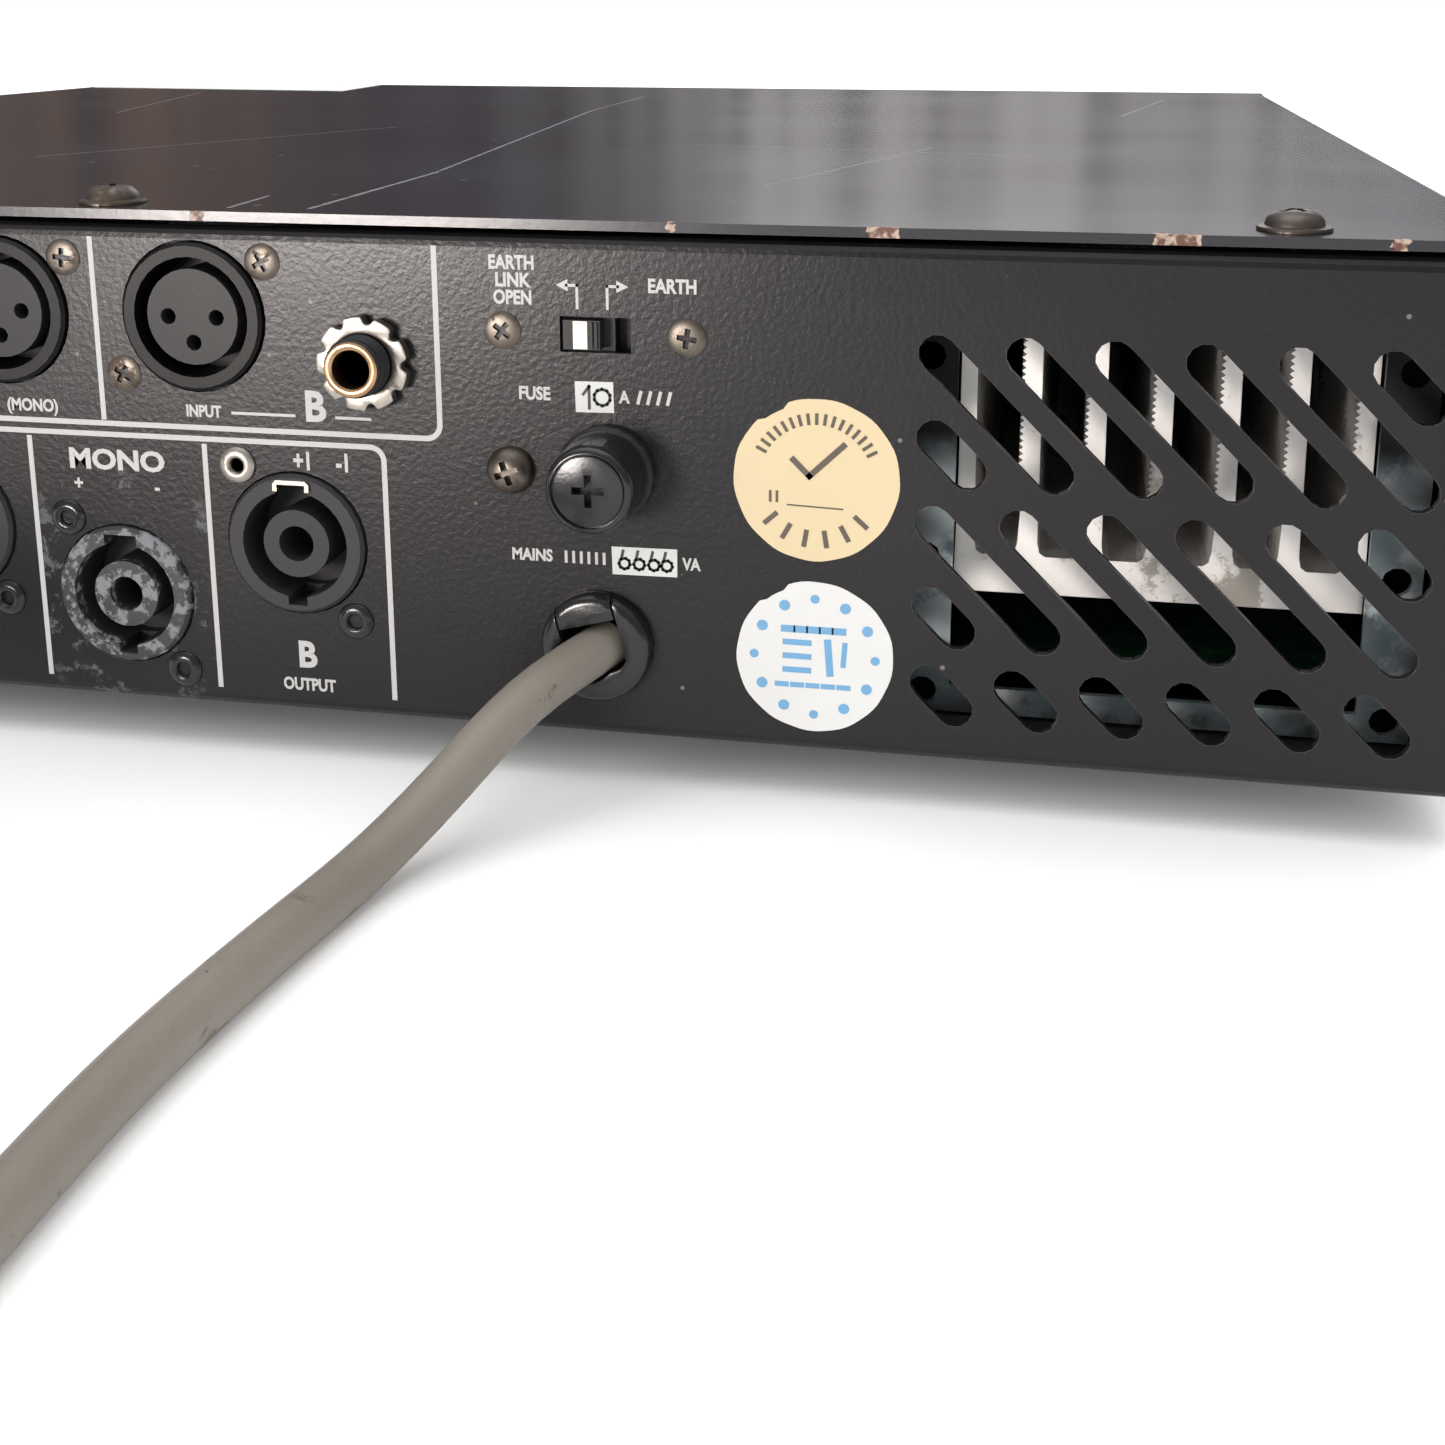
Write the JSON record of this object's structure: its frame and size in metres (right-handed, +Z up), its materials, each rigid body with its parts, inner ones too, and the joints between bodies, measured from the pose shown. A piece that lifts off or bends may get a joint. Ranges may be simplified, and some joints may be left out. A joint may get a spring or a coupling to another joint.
{
  "type": "power amplifier",
  "caption": "Low rack-height two-channel power amplifier with a folded steel casing, rear sockets, slanted cooling slots, side heat sinks with fans, front gain knobs and a captive mains lead.",
  "frame": {"origin": "on the resting surface, below the middle of the box that the amplifier fills, its mains lead, coil and plug left out", "axes": "+Y out of the rear panel, where the sockets are; -Y out of the front; +Z up; +X along the width"},
  "size_m": [0.42, 0.636, 0.0913],
  "materials": {
    "black_paint": "satin black powder coat, scuffed",
    "gloss_black_paint": "gloss black paint with fine scratches",
    "rubber": "matt black rubber",
    "dark_steel": "dull dark steel, a little tarnished",
    "black_plastic": "matt black moulded plastic",
    "gloss_plastic": "glossy black nylon",
    "nickel": "nickel plate",
    "aluminium": "bare extruded aluminium",
    "zinc": "zinc-plated steel",
    "cord_grey": "warm grey cable sheath, dusty",
    "board_green": "green circuit board",
    "tape_yellow": "clear yellow winding tape",
    "sleeve_blue": "dark blue shrink sleeve"
  },
  "bodies": {
    "chassis": {"rear_panel": "black_paint", "front_panel": "black_paint", "base_plate": "black_paint", "side_plate_left": "black_paint", "side_plate_right": "black_paint", "top_cover": "gloss_black_paint", "foot_rear_left": "rubber", "foot_rear_right": "rubber", "foot_front_left": "rubber", "foot_front_right": "rubber", "cover_screw_left": "dark_steel", "cover_screw_middle": "dark_steel", "cover_screw_right": "dark_steel", "earth_screw": "dark_steel", "gain_control_a": "dark_steel", "gain_control_b": "dark_steel", "xlr_input_a": "black_plastic", "xlr_input_b": "black_plastic", "jack_input_a": "black_plastic", "jack_input_b": "black_plastic", "speaker_socket_a": "black_plastic", "bridge_socket": "black_plastic", "speaker_socket_b": "black_plastic", "ground_switch_body": "black_plastic", "fuse_holder": "black_plastic", "fan_frame_a": "black_plastic", "fan_frame_b": "black_plastic", "transistor_a1": "black_plastic", "transistor_a2": "black_plastic", "transistor_b1": "black_plastic", "transistor_b2": "black_plastic", "rectifier": "black_plastic", "power_switch_frame": "black_plastic", "mains_plug": "black_plastic", "strain_relief_body": "gloss_plastic", "strain_relief_wedge": "gloss_plastic", "jack_nut_a": "nickel", "jack_nut_b": "nickel", "heat_sink_a": "aluminium", "heat_sink_b": "aluminium", "duct_plate_a": "zinc", "duct_plate_b": "zinc", "transformer_clamp": "zinc", "mains_cord": "cord_grey", "cord_coil": "cord_grey", "amplifier_board_a": "board_green", "amplifier_board_b": "board_green", "supply_board": "board_green", "input_board": "board_green", "transformer": "tape_yellow", "capacitor_left": "sleeve_blue", "capacitor_right": "sleeve_blue"},
    "fan_a": {"fan_rotor_a": "black_plastic"},
    "fan_b": {"fan_rotor_b": "black_plastic"},
    "gain_a": {"gain_knob_a": "black_plastic"},
    "gain_b": {"gain_knob_b": "black_plastic"},
    "rocker": {"power_rocker": "black_plastic"},
    "ground_slider": {"ground_switch_slider": "black_plastic"},
    "fuse_carrier": {"fuse_cartridge": "nickel"},
    "fuse_cap": {"fuse_cap": "black_plastic"}
  },
  "joints": [
    {"name": "fan_a_spin", "type": "hinge", "parent": "chassis", "child": "fan_a", "pos_m": [0.1637, -0.05265, 0.0416], "axis": [0, 1, 0], "continuous": true},
    {"name": "fan_b_spin", "type": "hinge", "parent": "chassis", "child": "fan_b", "pos_m": [-0.1637, -0.05265, 0.0416], "axis": [0, 1, 0], "continuous": true},
    {"name": "gain_a_turn", "type": "hinge", "parent": "chassis", "child": "gain_a", "pos_m": [0.112, -0.20075, 0.048], "axis": [0, -1, 0], "range_deg": [-150, 150]},
    {"name": "gain_b_turn", "type": "hinge", "parent": "chassis", "child": "gain_b", "pos_m": [0.058, -0.20075, 0.048], "axis": [0, -1, 0], "range_deg": [-150, 150]},
    {"name": "power_rock", "type": "hinge", "parent": "chassis", "child": "rocker", "pos_m": [-0.075, -0.19375, 0.048], "axis": [1, 0, 0], "range_deg": [-24, 0]},
    {"name": "ground_lift_slide", "type": "slide", "parent": "chassis", "child": "ground_slider", "axis": [-1, 0, 0], "range_m": [0, 0.004]},
    {"name": "fuse_pull", "type": "slide", "parent": "chassis", "child": "fuse_carrier", "axis": [0, 1, 0], "range_m": [0, 0.026]},
    {"name": "fuse_cap_turn", "type": "hinge", "parent": "fuse_carrier", "child": "fuse_cap", "pos_m": [-0.0821, 0.20425, 0.0505], "axis": [0, -1, 0], "range_deg": [0, 90]}
  ]
}
